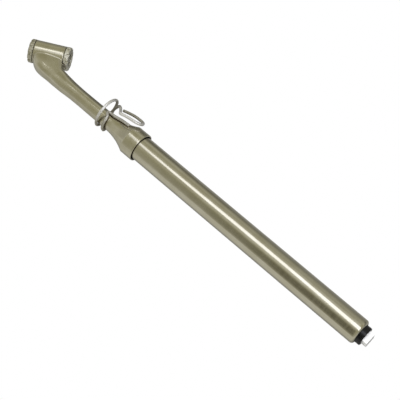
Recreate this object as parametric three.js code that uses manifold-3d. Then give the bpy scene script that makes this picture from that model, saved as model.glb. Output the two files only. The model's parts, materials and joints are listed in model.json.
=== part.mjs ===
// Double-foot tyre pressure gauge, pencil type.
// Millimetres. Working axes: +X runs along the barrel from the head to the tip,
// +Z is up, and the origin is the barrel's axis at the open end of the collar.
// The finished group is shifted so that the centre of its footprint is the origin.
import * as THREE from 'three';
import { mergeVertices } from 'three/addons/utils/BufferGeometryUtils.js';
import Module from 'manifold-3d';

const wasm = await Module();
wasm.setup();

// ---------------------------------------------------------------- dimensions
const GAP = 0.3;                        // play between pieces that meet
const DEG = Math.PI / 180;

const BARREL = {
  radius: 8, bore: 7.2, start: -6.9, end: 173,
  crimpRadius: 2, lipRadius: 6.15, lipThickness: 0.55, rimEdge: 0.2,
};
const BARREL_GASKET = { from: -8.2, to: -7.2, hole: 5, radius: 7.9 };
const COLLAR = { radius: 9.45, length: 8.8, edge: 0.5, socketDepth: 8.5, mouthChamfer: 0.45 };
const NECK = {
  waist: 5.05, atFlare: 5.15, atHead: 5.6, flareStart: -26, waistFrom: -40, waistTo: -56, end: -68,
  flareLow: [-17, 5.25], flareHigh: [-11.4, 8.25],   // control points of the flare's curve, [axial, radius]
};
const PASSAGE = { radius: 1.8, bend: -70 };   // the air's way from the head's chamber to the barrel

const HEAD = { x: -90.3, y: 9.3, angle: 30 * DEG, radius: 7.25, half: 9.65, edge: 0.25 };
// The elbow's half sections as [axial, size] stops: towards -Y, towards +Y and half its height.
const ELBOW = {
  near: [[-66, -5.5], [-72, -5.4], [-78, -5.25], [-85, -5.1], [-90, -4.25], [-94, -2.2], [-98, 1.9]],
  far: [[-66, 5.5], [-72, 5.75], [-74.5, 6.1], [-77, 8.5], [-81, 11.5], [-90, 13], [-98, 10]],
  height: [[-66, 5.5], [-72, 5.8], [-78, 6.3], [-90, 6.3], [-98, 5]],
  squareness: 4.4, squareFrom: 69, squareAt: 81,   // how boxy the sections get, and where
  from: -66, to: -98, step: 2, corners: 32, ringClearance: 1.2,
};
const CHAMBER = { radius: 3.2, half: 5.2, counterbore: 6 };
const RING = {
  radius: 7.7, start: 10.15, end: 13.2, mouth: 4.25, sleeve: 5.7, sleeveStart: 7.3,
  chamfer: 0.6, edge: 0.3, slots: 10, slotWidth: 1.5, slotDepth: 1.8, slotFloor: 6.5,
  grooves: 24, grooveDepth: 0.3,        // grip marks along the axis, behind the slots
};
const GASKET = { inner: 5.5, outer: 7, hole: 2.3, radius: 5.7 };
const SHUTTLE = { pin: 0.9, half: 8.7, dome: 0.4, collar: 2.6, collarHalf: 2, sealEnd: 3.9 };

const PISTON = { front: -0.7, skirt: 3, hubEnd: 9, skirtRadius: 6.9, hub: 4.6, skirtEdge: 0.4, hubEdge: 0.6 };
const CUP = { lip: -4.6, base: -2.4, back: -1, radius: 6.9, edge: 0.4, inside: 5.5, lipInside: 6 };
const CUP_WASHER = { thickness: 0.8, radius: 4.9 };
const SCREW = { head: 2.6, headLength: 1.6, headEdge: 0.5, shank: 1.2, tip: 3.5 };
const SPRING = { mean: 6.2, wire: 0.55, turns: 26, stepsPerTurn: 10, sides: 5 };
const SEAT_WASHER = { thickness: 1, hole: 5.3 };
const FRICTION_RING = { thickness: 2.4 };
const BUSHING = { start: 163, shoulder: 172.2, end: 176.4, body: 6.9, edge: 0.8, nose: 5.95, noseEdge: 0.5 };
const BAR = { side: 7.2, corner: 0.4, roll: -5 * DEG, start: 9.3, foot: 4.9, footLength: 3, proud: 3.15 };
const BAR_HOLE = BAR.side + 0.5;

const WIRE = 0.92;                      // radius of the hanging clip's wire
// Angles round the neck are in degrees from +Z towards +Y, and a reach is the distance from its axis.
const CLIP = {
  turn: 9.62,                           // mean radius of the big turn
  offset: 3.3, offsetAt: 66,            // where that turn's centre hangs, off the neck's axis
  leg: [[-13.2, 8.6, 25], [-14.8, 7.95, 28], [-17.4, 7.3, 32], [-20.1, 6.85, 34], [-22.7, 6.55, 31],
    [-25.4, 6.36, 27], [-28.4, 6.32, 26], [-30, 6.3, 21], [-29.6, 6.3, 11], [-28.3, 6.3, 1],
    [-27.6, 6.34, -18], [-27.3, 6.4, -45], [-27.2, 6.42, -78]],
  pitch: [[-110, -27.2], [-145, -28.2], [-180, -30.6], [-210, -32.8], [-238, -34], [-290, -32.6],
    [-360, -31.8], [-420, -32], [-470, -32.5]],
  crossing: [[-32.9, 6.32, -505], [-33.1, 6.45, -540], [-33.5, 6.95, -570], [-33.3, 8.15, -595],
    [-32.7, 9.5, -614], [-31, 10.6, -632], [-28.7, 11.35, -650], [-25.8, 11.3, -668], [-23.6, 10.9, -681]],
  steps: 140, sides: 8,
  bailAt: 49.5, bailEnd: -7.6, bailStart: -21.4, freeEnd: -25.4,
  bailHalf: [[-25.4, 4.6], [-21.4, 4.9], [-17, 4.9], [-11, 4.6], [-7, 4.6]],
  bailReach: [[-25.5, 9.75], [-21.9, 10.6], [-17.7, 11.4], [-13.5, 11.95], [-9.4, 12.25], [-6.8, 12.3]],
};

const SEGMENTS = { fine: 48, medium: 40, small: 24 };

// ----------------------------------------------------------------- materials
const nickel = new THREE.MeshStandardMaterial({ color: 0xaaa48c, roughness: 0.34, metalness: 1 });
const brushedNickel = new THREE.MeshStandardMaterial({ color: 0xa8a286, roughness: 0.42, metalness: 1 });
const springSteel = new THREE.MeshStandardMaterial({ color: 0xc8c6bd, roughness: 0.18, metalness: 1 });
const brass = new THREE.MeshStandardMaterial({ color: 0xb08d48, roughness: 0.4, metalness: 1 });
const blackNylon = new THREE.MeshStandardMaterial({ color: 0x0d0d10, roughness: 0.3, metalness: 0 });
const whiteNylon = new THREE.MeshStandardMaterial({ color: 0xf4f4f2, roughness: 0.45, metalness: 0 });
const blackRubber = new THREE.MeshStandardMaterial({ color: 0x1b1b1b, roughness: 0.8, metalness: 0 });

// ------------------------------------------------------------------- helpers
/** Merges shared vertices, drops flat triangles and turns every face outward. */
function closed(geometry) {
  const bare = new THREE.BufferGeometry();
  bare.setAttribute('position', geometry.getAttribute('position').clone());
  if (geometry.index) bare.setIndex(geometry.index.clone());
  const merged = mergeVertices(bare, 1e-4);
  const source = merged.index.array;
  const position = merged.getAttribute('position');
  const kept = [];
  for (let i = 0; i < source.length; i += 3) {
    const [a, b, c] = [source[i], source[i + 1], source[i + 2]];
    if (a !== b && b !== c && c !== a) kept.push(a, b, c);
  }
  const corner = [new THREE.Vector3(), new THREE.Vector3(), new THREE.Vector3()];
  let volume = 0;
  for (let i = 0; i < kept.length; i += 3) {
    corner.forEach((p, k) => p.fromBufferAttribute(position, kept[i + k]));
    volume += corner[0].dot(corner[1].cross(corner[2]));
  }
  if (volume < 0) {
    for (let i = 0; i < kept.length; i += 3) [kept[i], kept[i + 1]] = [kept[i + 1], kept[i]];
  }
  merged.setIndex(kept);
  return merged;
}

function toSolid(geometry) {
  const shape = closed(geometry);
  return new wasm.Manifold(new wasm.Mesh({
    numProp: 3,
    vertProperties: Float32Array.from(shape.getAttribute('position').array),
    triVerts: Uint32Array.from(shape.index.array),
  }));
}

function fromSolid(solid) {
  const mesh = solid.getMesh();
  const geometry = new THREE.BufferGeometry();
  geometry.setAttribute('position', new THREE.BufferAttribute(Float32Array.from(mesh.vertProperties), 3));
  geometry.setIndex(Array.from(mesh.triVerts));
  return geometry;
}

/** Joins every geometry in `add` and cuts every geometry in `cut` from the result. */
function carve(add, cut = []) {
  const body = add.map(toSolid).reduce((whole, next) => whole.add(next));
  return fromSolid(cut.map(toSolid).reduce((whole, next) => whole.subtract(next), body));
}

/** Revolves [axial, radius] points about X. A hollow profile ends where it starts. */
function revolve(profile, segments = SEGMENTS.medium) {
  const points = profile.map(([axial, radius]) => new THREE.Vector2(radius, axial));
  return new THREE.LatheGeometry(points, segments).rotateZ(-Math.PI / 2);
}

/** A round rod along X. */
function rod(from, to, radius, segments = SEGMENTS.small) {
  return revolve([[from, 0], [from, radius], [to, radius], [to, 0]], segments);
}

/** A plain ring along X. */
function washer(from, to, hole, radius, segments = SEGMENTS.small) {
  return revolve([[from, hole], [from, radius], [to, radius], [to, hole], [from, hole]], segments);
}

/** A bar along X with a square section and rounded corners. */
function squareBar(from, to, side, corner, roll) {
  const half = side / 2;
  const outline = new THREE.Shape();
  outline.moveTo(-half + corner, -half);
  outline.lineTo(half - corner, -half);
  outline.absarc(half - corner, -half + corner, corner, -Math.PI / 2, 0);
  outline.lineTo(half, half - corner);
  outline.absarc(half - corner, half - corner, corner, 0, Math.PI / 2);
  outline.lineTo(-half + corner, half);
  outline.absarc(-half + corner, half - corner, corner, Math.PI / 2, Math.PI);
  outline.lineTo(-half, -half + corner);
  outline.absarc(-half + corner, -half + corner, corner, Math.PI, 1.5 * Math.PI);
  const bar = new THREE.ExtrudeGeometry(outline, { depth: to - from, bevelEnabled: false, curveSegments: 4 });
  return bar.rotateY(Math.PI / 2).translate(from, 0, 0).rotateX(-roll);
}

/** Skins closed rings of points, each with the same count, and caps both ends. */
function skin(rings) {
  const count = rings[0].length;
  const vertices = rings.flat();
  const index = [];
  for (let r = 0; r + 1 < rings.length; r += 1) {
    for (let i = 0; i < count; i += 1) {
      const a = r * count + i;
      const b = r * count + ((i + 1) % count);
      index.push(a, b, a + count, b, b + count, a + count);
    }
  }
  const last = (rings.length - 1) * count;
  const centre = (start) => {
    const middle = new THREE.Vector3();
    for (let i = 0; i < count; i += 1) middle.add(vertices[start + i]);
    return middle.divideScalar(count);
  };
  vertices.push(centre(0), centre(last));
  for (let i = 0; i < count; i += 1) {
    const next = (i + 1) % count;
    index.push(next, i, vertices.length - 2, last + i, last + next, vertices.length - 1);
  }
  const geometry = new THREE.BufferGeometry().setFromPoints(vertices);
  return geometry.setIndex(index);
}

/** A round tube of one unbroken run along a curve. */
function tube(curve, radius, steps, sides) {
  const frames = curve.computeFrenetFrames(steps, false);
  const rings = [];
  for (let s = 0; s <= steps; s += 1) {
    const centre = curve.getPointAt(s / steps);
    const ring = [];
    for (let k = 0; k < sides; k += 1) {
      const turn = (2 * Math.PI * k) / sides;
      ring.push(centre.clone()
        .addScaledVector(frames.normals[s], radius * Math.cos(turn))
        .addScaledVector(frames.binormals[s], radius * Math.sin(turn)));
    }
    rings.push(ring);
  }
  return skin(rings);
}

/** Least gap between stretches of a tube that are further apart than `apart` along it. */
function selfGap(curve, radius, samples, apart) {
  const points = curve.getSpacedPoints(samples);
  const skip = Math.ceil((apart * samples) / curve.getLength());
  let least = Infinity;
  for (let i = 0; i < points.length; i += 1) {
    for (let j = i + skip; j < points.length; j += 1) {
      least = Math.min(least, points[i].distanceTo(points[j]));
    }
  }
  return least - 2 * radius;
}

/** Reads a value from [key, value] stops by smooth interpolation. */
function along(stops, key) {
  const n = stops.length;
  let i = 0;
  while (i < n - 2 && (key - stops[i + 1][0]) * (stops[n - 1][0] - stops[0][0]) > 0) i += 1;
  const slope = (k) => {
    const before = stops[Math.max(k - 1, 0)];
    const after = stops[Math.min(k + 1, n - 1)];
    return (after[1] - before[1]) / (after[0] - before[0]);
  };
  const [x0, y0] = stops[i];
  const [x1, y1] = stops[i + 1];
  const w = x1 - x0;
  const t = (key - x0) / w;
  return y0 * (1 + 2 * t) * (1 - t) ** 2 + y1 * t * t * (3 - 2 * t)
    + slope(i) * w * t * (1 - t) ** 2 - slope(i + 1) * w * t * t * (1 - t);
}

// ------------------------------------------------------------ head and collar
/** Turns a piece made along X onto the head's axis, which crosses the neck. */
function onHeadAxis(geometry) {
  return geometry.rotateZ(HEAD.angle).translate(HEAD.x, HEAD.y, 0);
}

/** Neck, flare and collar, one turned form with a waist and a bell-shaped shoulder. */
function neckAndCollar() {
  const flare = new THREE.CubicBezierCurve(
    new THREE.Vector2(NECK.flareStart, NECK.atFlare),
    new THREE.Vector2(...NECK.flareLow),
    new THREE.Vector2(...NECK.flareHigh),
    new THREE.Vector2(-COLLAR.length, COLLAR.radius),
  );
  const waist = [];
  for (let x = NECK.end; x < NECK.flareStart - 1; x += 5) {
    waist.push([x, along([[NECK.end, NECK.atHead], [NECK.waistTo, NECK.waist], [NECK.waistFrom, NECK.waist],
      [NECK.flareStart, NECK.atFlare]], x)]);
  }
  const lip = [0, 30, 60, 90].map((a) => [
    -COLLAR.edge + COLLAR.edge * Math.sin(a * DEG),
    COLLAR.radius - COLLAR.edge + COLLAR.edge * Math.cos(a * DEG),
  ]);
  return revolve([
    [NECK.end, 0], ...waist, ...flare.getPoints(11).map((p) => [p.x, p.y]), ...lip, [0, 0],
  ], SEGMENTS.fine);
}

/** The elbow: rounded sections that swell from the neck into the web beside the head. */
function elbow() {
  const { near, far, height, from, to, step, corners, squareness, squareFrom, squareAt } = ELBOW;
  const rings = [];
  for (let x = from; x >= to; x -= step) {
    const low = along(near, x);
    const high = along(far, x);
    const tall = along(height, x);
    const boxy = THREE.MathUtils.smoothstep(-x, squareFrom, squareAt);
    const power = 2 / THREE.MathUtils.lerp(2, squareness, boxy);
    const ring = [];
    for (let k = 0; k < corners; k += 1) {
      const turn = (2 * Math.PI * k) / corners;
      const across = Math.sign(Math.cos(turn)) * Math.abs(Math.cos(turn)) ** power;
      const up = Math.sign(Math.sin(turn)) * Math.abs(Math.sin(turn)) ** power;
      ring.push(new THREE.Vector3(x, (low + high) / 2 + (across * (high - low)) / 2, up * tall));
    }
    rings.push(ring);
  }
  return skin(rings);
}

/** Room for a retaining ring past each end of the head, cut square into the elbow. */
function ringRoom() {
  return [1, -1].map((side) => onHeadAxis(
    rod(side * HEAD.half, side * 2 * HEAD.half, RING.radius + ELBOW.ringClearance, SEGMENTS.medium),
  ));
}

function headCasting() {
  const trimmed = carve([elbow()], ringRoom());
  const headTube = onHeadAxis(revolve([
    [-HEAD.half, 0], [-HEAD.half, HEAD.radius - HEAD.edge], [-HEAD.half + HEAD.edge, HEAD.radius],
    [HEAD.half - HEAD.edge, HEAD.radius], [HEAD.half, HEAD.radius - HEAD.edge], [HEAD.half, 0],
  ], SEGMENTS.fine));
  const reach = HEAD.half + 1;
  const bore = onHeadAxis(revolve([
    [-reach, 0], [-reach, CHAMBER.counterbore], [-CHAMBER.half, CHAMBER.counterbore],
    [-CHAMBER.half, CHAMBER.radius], [CHAMBER.half, CHAMBER.radius],
    [CHAMBER.half, CHAMBER.counterbore], [reach, CHAMBER.counterbore], [reach, 0],
  ]));
  const socketRadius = BARREL.radius + GAP;
  const chamfer = COLLAR.mouthChamfer;
  const socket = revolve([
    [-COLLAR.socketDepth, 0], [-COLLAR.socketDepth, socketRadius], [-chamfer, socketRadius],
    [chamfer, socketRadius + 2 * chamfer], [chamfer, 0],
  ], SEGMENTS.fine);
  const { radius, bend } = PASSAGE;
  const neckHole = rod(bend, -COLLAR.socketDepth + 1, radius, SEGMENTS.small);
  const slant = Math.hypot(HEAD.x - bend, HEAD.y);
  const headHole = rod(-1, slant, radius, SEGMENTS.small)
    .rotateZ(Math.atan2(HEAD.y, HEAD.x - bend)).translate(bend, 0, 0);
  return carve([neckAndCollar(), trimmed, headTube], [bore, socket, neckHole, headHole]);
}

/** Cutters for the grip marks round a retaining ring's flange, from its back to where the slots begin. */
function gripMarks() {
  const side = RING.grooveDepth * Math.SQRT2;
  const length = RING.end - RING.slotDepth - RING.start;
  return Array.from({ length: RING.grooves }, (_, k) => new THREE.BoxGeometry(2 * length, side, side)
    .rotateX(Math.PI / 4)
    .translate(RING.start, 0, RING.radius)
    .rotateX((2 * Math.PI * (k + 0.5)) / RING.grooves));
}

/** A castellated retaining ring: slotted flange outside, sleeve that clamps the gasket inside. */
function chuckRing() {
  const body = revolve([
    [RING.sleeveStart, RING.mouth], [RING.sleeveStart, RING.sleeve], [RING.start, RING.sleeve],
    [RING.start, RING.radius - RING.edge], [RING.start + RING.edge, RING.radius],
    [RING.end - RING.chamfer, RING.radius], [RING.end, RING.radius - RING.chamfer],
    [RING.end, RING.mouth + RING.edge], [RING.end - RING.edge, RING.mouth],
    [RING.sleeveStart, RING.mouth],
  ], SEGMENTS.medium);
  const slots = [];
  const over = 1;
  const tall = RING.radius - RING.slotFloor + over;
  for (let k = 0; k < RING.slots; k += 1) {
    const slot = new THREE.BoxGeometry(RING.slotDepth + over, RING.slotWidth, tall);
    slot.translate(RING.end + (over - RING.slotDepth) / 2, 0, RING.slotFloor + tall / 2);
    slots.push(slot.rotateX((2 * Math.PI * (k + 0.5)) / RING.slots));
  }
  return carve([body], [...slots, ...gripMarks()]);
}

const gasket = () => washer(GASKET.inner, GASKET.outer, GASKET.hole, GASKET.radius);
const shuttleSeal = () => washer(
  SHUTTLE.collarHalf + GAP, SHUTTLE.sealEnd, SHUTTLE.pin + GAP, SHUTTLE.collar,
);

/** The double-ended depressor: a pin through both gaskets with a collar in the chamber. */
function shuttlePin() {
  const { pin, half, dome, collar, collarHalf } = SHUTTLE;
  return revolve([
    [-half, 0], [-half, pin - dome], [-half + dome, pin], [-collarHalf, pin],
    [-collarHalf, collar], [collarHalf, collar], [collarHalf, pin],
    [half - dome, pin], [half, pin - dome], [half, 0],
  ], SEGMENTS.small);
}

// ------------------------------------------------------------ barrel and tip
/** A drawn tube whose far end is rolled in over the bushing's shoulder. */
function barrelTube() {
  const { radius, bore, start, end, crimpRadius, lipRadius, lipThickness, rimEdge } = BARREL;
  const roll = [];
  for (let a = 0; a <= 90; a += 15) {
    roll.push([
      end - crimpRadius + crimpRadius * Math.sin(a * DEG),
      radius - crimpRadius + crimpRadius * Math.cos(a * DEG),
    ]);
  }
  return revolve([
    [start, bore], [start, radius - rimEdge], [start + rimEdge, radius], ...roll,
    [end, lipRadius], [end - lipThickness, lipRadius], [end - lipThickness, bore - lipThickness],
    [end - 2 * lipThickness, bore], [start, bore],
  ], SEGMENTS.fine);
}

/** The end bushing: a plain body under the rolled lip and a nose with a square hole. */
function endBushing() {
  const { start, shoulder, end, body, edge, nose, noseEdge } = BUSHING;
  const turned = revolve([
    [start, 0], [start, body], [shoulder - edge, body], [shoulder, body - edge], [shoulder, nose],
    [end - noseEdge, nose], [end, nose - noseEdge], [end, 0],
  ], SEGMENTS.medium);
  return carve([turned], [squareBar(start - 1, end + 1, BAR_HOLE, BAR.corner, BAR.roll)]);
}

function indicatorBar() {
  const end = BUSHING.end + BAR.proud;
  return carve([
    squareBar(BAR.start + 1, end, BAR.side, BAR.corner, BAR.roll),
    rod(BAR.start, BAR.start + BAR.footLength, BAR.foot),
  ]);
}

function frictionRing(from, to) {
  return carve(
    [rod(from, to, BUSHING.body)],
    [squareBar(from - 1, to + 1, BAR_HOLE, BAR.corner, BAR.roll)],
  );
}

// ------------------------------------------------------- piston and its spring
function pistonBody() {
  const { front, skirt, hubEnd, skirtRadius, hub, skirtEdge, hubEdge } = PISTON;
  const hole = SCREW.shank + GAP;
  return revolve([
    [front, hole], [front, skirtRadius - skirtEdge], [front + skirtEdge, skirtRadius], [skirt, skirtRadius],
    [skirt, hub], [hubEnd - hubEdge, hub], [hubEnd, hub - hubEdge], [hubEnd, 0], [SCREW.tip + GAP, 0],
    [SCREW.tip + GAP, hole], [front, hole],
  ]);
}

function pistonCup() {
  const { lip, base, back, radius, edge, inside, lipInside } = CUP;
  const hole = SCREW.shank + GAP;
  return revolve([
    [base, hole], [base, inside], [lip, lipInside], [lip, radius], [back - edge, radius],
    [back, radius - edge], [back, hole], [base, hole],
  ]);
}

function pistonScrew() {
  const { head, headLength, headEdge, shank, tip } = SCREW;
  const seat = CUP.base - GAP - CUP_WASHER.thickness - GAP;
  return revolve([
    [seat - headLength, 0], [seat - headLength, head - headEdge], [seat - headLength + headEdge, head],
    [seat, head], [seat, shank], [tip, shank], [tip, 0],
  ], SEGMENTS.small);
}

class Helix extends THREE.Curve {
  constructor(from, to, radius, turns) {
    super();
    Object.assign(this, { from, to, radius, turns });
  }

  getPoint(t) {
    const turn = 2 * Math.PI * this.turns * t;
    return new THREE.Vector3(
      THREE.MathUtils.lerp(this.from, this.to, t),
      this.radius * Math.cos(turn),
      this.radius * Math.sin(turn),
    );
  }
}

// ------------------------------------------------------------- hanging clip
/** Distance from the neck's axis to the middle of the big turn's wire, at an angle round the neck. */
function turnReach(angle) {
  const apart = (angle - CLIP.offsetAt) * DEG;
  return CLIP.offset * Math.cos(apart) + Math.sqrt(CLIP.turn ** 2 - (CLIP.offset * Math.sin(apart)) ** 2);
}

function aroundNeck(x, reach, angle) {
  return new THREE.Vector3(x, reach * Math.sin(angle * DEG), reach * Math.cos(angle * DEG));
}

/** A point on the bail's curved flat, `across` to one side of its middle. */
function onBail(x, across) {
  const tilt = CLIP.bailAt * DEG;
  const side = new THREE.Vector3(0, across * Math.cos(tilt), -across * Math.sin(tilt));
  return aroundNeck(x, along(CLIP.bailReach, x), CLIP.bailAt).add(side);
}

/** One wire: a leg along the neck, two loose turns, then a long bail that folds back on itself. */
function clipRoute() {
  const { leg, pitch, crossing, bailHalf, bailStart, bailEnd, freeEnd } = CLIP;
  const points = leg.map((stop) => aroundNeck(...stop));
  for (let angle = -110; angle >= -470; angle -= 18) {
    points.push(aroundNeck(along(pitch, angle), turnReach(angle), angle));
  }
  points.push(...crossing.map((stop) => aroundNeck(...stop)));
  const half = (x) => along(bailHalf, x);
  const bendRadius = half(bailEnd);
  const bend = bailEnd - bendRadius;
  for (let x = bailStart; x < bend - 1; x += 3.4) points.push(onBail(x, -half(x)));
  for (let a = -90; a <= 90; a += 22.5) {
    points.push(onBail(bend + bendRadius * Math.cos(a * DEG), bendRadius * Math.sin(a * DEG)));
  }
  for (let x = bend - 3; x > freeEnd + 1; x -= 3.4) points.push(onBail(x, half(x)));
  points.push(onBail(freeEnd, half(freeEnd)));
  return new THREE.CatmullRomCurve3(points, false, 'centripetal');
}

// ------------------------------------------------------------------ assembly
function piece(name, geometry, material) {
  const mesh = new THREE.Mesh(closed(geometry), material);
  mesh.name = name;
  return mesh;
}

/** The head lies rolled until its rear ring touches the surface that the collar rests on. */
function restRoll() {
  const out = HEAD.y + (RING.end - RING.chamfer) * Math.sin(HEAD.angle);
  return Math.asin((COLLAR.radius - RING.radius) / out);
}

function headGroup() {
  const head = new THREE.Group();
  head.rotation.x = -restRoll();
  head.add(piece('head_casting', headCasting(), nickel));
  const chuck = new THREE.Group();
  chuck.position.set(HEAD.x, HEAD.y, 0);
  chuck.rotation.z = HEAD.angle;
  for (const [side, turn] of [['rear', 0], ['front', Math.PI]]) {
    const end = new THREE.Group();
    end.rotation.z = turn;
    end.add(
      piece(`${side}_chuck_ring`, chuckRing(), nickel),
      piece(`${side}_chuck_gasket`, gasket(), blackRubber),
      piece(`${side}_shuttle_seal`, shuttleSeal(), blackRubber),
    );
    chuck.add(end);
  }
  chuck.add(piece('shuttle_pin', shuttlePin(), brass));
  head.add(chuck);
  return head;
}

function buildGauge() {
  const ringEnd = BUSHING.start - GAP;
  const ringStart = ringEnd - FRICTION_RING.thickness;
  const seatEnd = ringStart - GAP;
  const seatStart = seatEnd - SEAT_WASHER.thickness;
  const springStart = PISTON.skirt + GAP + SPRING.wire;
  const spring = new Helix(springStart, seatStart - GAP - SPRING.wire, SPRING.mean, SPRING.turns);
  const clip = clipRoute();
  console.log('hanging_clip: least gap to itself, mm:', selfGap(clip, WIRE, 900, 6).toFixed(2));
  console.log('spring: least gap to itself, mm:', selfGap(spring, SPRING.wire, 2600, 8).toFixed(2));

  const barrelGasket = washer(BARREL_GASKET.from, BARREL_GASKET.to, BARREL_GASKET.hole, BARREL_GASKET.radius);
  const cupWasherEnd = CUP.base - GAP;
  const cupWasherStart = cupWasherEnd - CUP_WASHER.thickness;
  const cupWasher = washer(cupWasherStart, cupWasherEnd, SCREW.shank + GAP, CUP_WASHER.radius);
  const springSteps = SPRING.turns * SPRING.stepsPerTurn;
  const gauge = new THREE.Group();
  gauge.add(
    headGroup(),
    piece('barrel', barrelTube(), brushedNickel),
    piece('barrel_gasket', barrelGasket, blackRubber),
    piece('piston', pistonBody(), brass),
    piece('piston_cup', pistonCup(), blackRubber),
    piece('piston_washer', cupWasher, brass),
    piece('piston_screw', pistonScrew(), springSteel),
    piece('spring', tube(spring, SPRING.wire, springSteps, SPRING.sides), springSteel),
    piece('spring_seat_washer', washer(seatStart, seatEnd, SEAT_WASHER.hole, BUSHING.body), springSteel),
    piece('bar_friction_ring', frictionRing(ringStart, ringEnd), blackRubber),
    piece('end_bushing', endBushing(), blackNylon),
    piece('indicator_bar', indicatorBar(), whiteNylon),
    piece('hanging_clip', tube(clip, WIRE, CLIP.steps, CLIP.sides), springSteel),
  );
  gauge.updateMatrixWorld(true);
  const box = new THREE.Box3().setFromObject(gauge, true);
  gauge.position.set(-(box.min.x + box.max.x) / 2, -(box.min.y + box.max.y) / 2, -box.min.z);
  const shift = gauge.position.toArray().map((value) => value.toFixed(3));
  console.log('shift of the collar end from the origin, mm:', shift.join(' '));
  return gauge;
}

export default buildGauge();
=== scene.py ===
"""Looks of a double-foot tyre pressure gauge: satin nickel head and barrel, wire clip, black bushing.

Lengths are in millimetres unless a comment says metres. Shapes are made with X along the barrel and 0 at the
collar's open end, and piece() moves them into the row frame.
"""

import json
import math

import bpy
import numpy as np
from mathutils import Matrix


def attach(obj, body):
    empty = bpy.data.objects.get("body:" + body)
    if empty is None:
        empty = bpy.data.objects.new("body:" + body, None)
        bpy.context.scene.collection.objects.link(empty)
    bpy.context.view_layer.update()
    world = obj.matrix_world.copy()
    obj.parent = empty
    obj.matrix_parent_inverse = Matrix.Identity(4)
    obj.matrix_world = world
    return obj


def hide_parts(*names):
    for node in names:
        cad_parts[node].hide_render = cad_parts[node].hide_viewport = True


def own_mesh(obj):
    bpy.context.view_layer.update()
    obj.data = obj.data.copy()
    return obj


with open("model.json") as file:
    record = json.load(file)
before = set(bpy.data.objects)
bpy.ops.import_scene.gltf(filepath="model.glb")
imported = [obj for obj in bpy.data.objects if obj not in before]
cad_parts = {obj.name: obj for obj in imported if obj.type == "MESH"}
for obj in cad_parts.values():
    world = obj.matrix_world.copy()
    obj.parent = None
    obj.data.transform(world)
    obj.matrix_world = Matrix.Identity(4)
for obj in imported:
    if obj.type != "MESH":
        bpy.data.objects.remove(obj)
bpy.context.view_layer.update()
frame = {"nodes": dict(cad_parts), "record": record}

MM = 0.001
DEG = math.pi / 180
SHIFT = np.array([-37.149, -6.366, 9.448])      # the collar's open end in the row frame

BARREL = dict(radius=8.0, bore=7.2, start=-6.9, end=173.0, crimp=2.0, lip=6.15, lip_depth=0.55, edge=0.2)
COLLAR = dict(radius=9.445, length=8.8, edge=0.5, socket=8.3, depth=8.5, bevel=0.45)
HEAD = dict(x=-90.3, y=9.3, angle=30 * DEG, radius=7.6, half=9.85, recess=6, recess_floor=5.2, chamber=3.2)
PASSAGE = dict(radius=1.8, elbow=-70.0)
# The web from the neck to the head: where it starts and ends, over what length it takes over from the round
# neck, and how much squarer its two sides get along it and again at its last part.
WEB = dict(start=-58, end=-98, takeover=14, growth=36, last=-76, last_growth=14,
           near_power=(1.3, 0.5), far_power=(3.4, 2))
RING = dict(radius=7.7, start=10.15, end=13.2, mouth=4.25, sleeve=5.7, sleeve_start=7.3, bevel=0.62,
            slots=10, slot_width=1.5, slot_depth=1.8, slot_floor=6.5, grips=24, grip_depth=0.3, clear=1.2)
ROLL = math.asin((9.45 - RING["radius"])
                 / (HEAD["y"] + (RING["end"] - 0.6) * math.sin(HEAD["angle"])))
BUSHING = dict(start=163.0, collar=6.9, collar_end=172.2, nose=5.95, end=176.4, gap=0.25)
BAR = dict(side=7.2, corner=0.4, roll=5 * DEG, start=10.3, end=179.55)
FOOT = dict(start=9.3, end=12.3, radius=4.9, edge=0.2)
SPRING = dict(start=3.85, end=158.15, radius=6.2, wire=0.55, turns=26, closed_pitch=1.3, open_pitch=6.5)
SCALE = dict(first=10, last=160, step=2, travel=85.0)   # units on the bar, and the stroke at the last one
WIRE = 0.905                                            # the clip wire's radius
FILLET = 0.3                                            # where cast faces meet


# ------------------------------------------------------------------ geometry
def rolled(p):
    """Turns points of the head about the barrel's axis into their rest roll."""
    p = np.asarray(p, float)
    c, s = math.cos(ROLL), math.sin(ROLL)
    return np.stack([p[..., 0], p[..., 1] * c + p[..., 2] * s, -p[..., 1] * s + p[..., 2] * c], -1)


def on_head(p, side=1):
    """Places points made along X onto the head's axis; side -1 faces the rear."""
    p = np.asarray(p, float)
    a = HEAD["angle"]
    x, y = p[..., 0] * side, p[..., 1] * side
    return rolled(np.stack([HEAD["x"] + x * math.cos(a) - y * math.sin(a),
                            HEAD["y"] + x * math.sin(a) + y * math.cos(a), p[..., 2]], -1))


def piece(name, verts, faces, body, material, stands_for=(), smooth=True):
    """Makes a Blender object of a mesh in millimetres, on its body and with its material."""
    mesh = bpy.data.meshes.new(name)
    mesh.from_pydata([tuple(v) for v in (np.asarray(verts) + SHIFT) * MM], [], [tuple(f) for f in faces])
    mesh.validate()
    mesh.update()
    mesh.polygons.foreach_set("use_smooth", [smooth] * len(mesh.polygons))
    obj = bpy.data.objects.new(name, mesh)
    bpy.context.scene.collection.objects.link(obj)
    mesh.materials.append(material)
    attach(obj, body)
    if stands_for:
        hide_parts(*stands_for)
    return obj


def lathe(profile, segments=160, closed=True):
    """Revolves [axial, radius] points about X into vertices and faces."""
    pts = np.array(profile, float)
    turn = np.arange(segments) * 2 * math.pi / segments
    ring = np.stack([np.zeros(segments), np.cos(turn), np.sin(turn)], 1)
    axial, radius = pts[:, 0][:, None, None], pts[:, 1][:, None, None]
    verts = (axial * np.array([1, 0, 0]) + radius * ring[None]).reshape(-1, 3)
    faces = []
    rows = len(pts) if closed else len(pts) - 1
    for r in range(rows):
        a, b = r * segments, ((r + 1) % len(pts)) * segments
        for k in range(segments):
            n = (k + 1) % segments
            faces.append((a + k, a + n, b + n, b + k))
    return verts, faces


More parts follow.
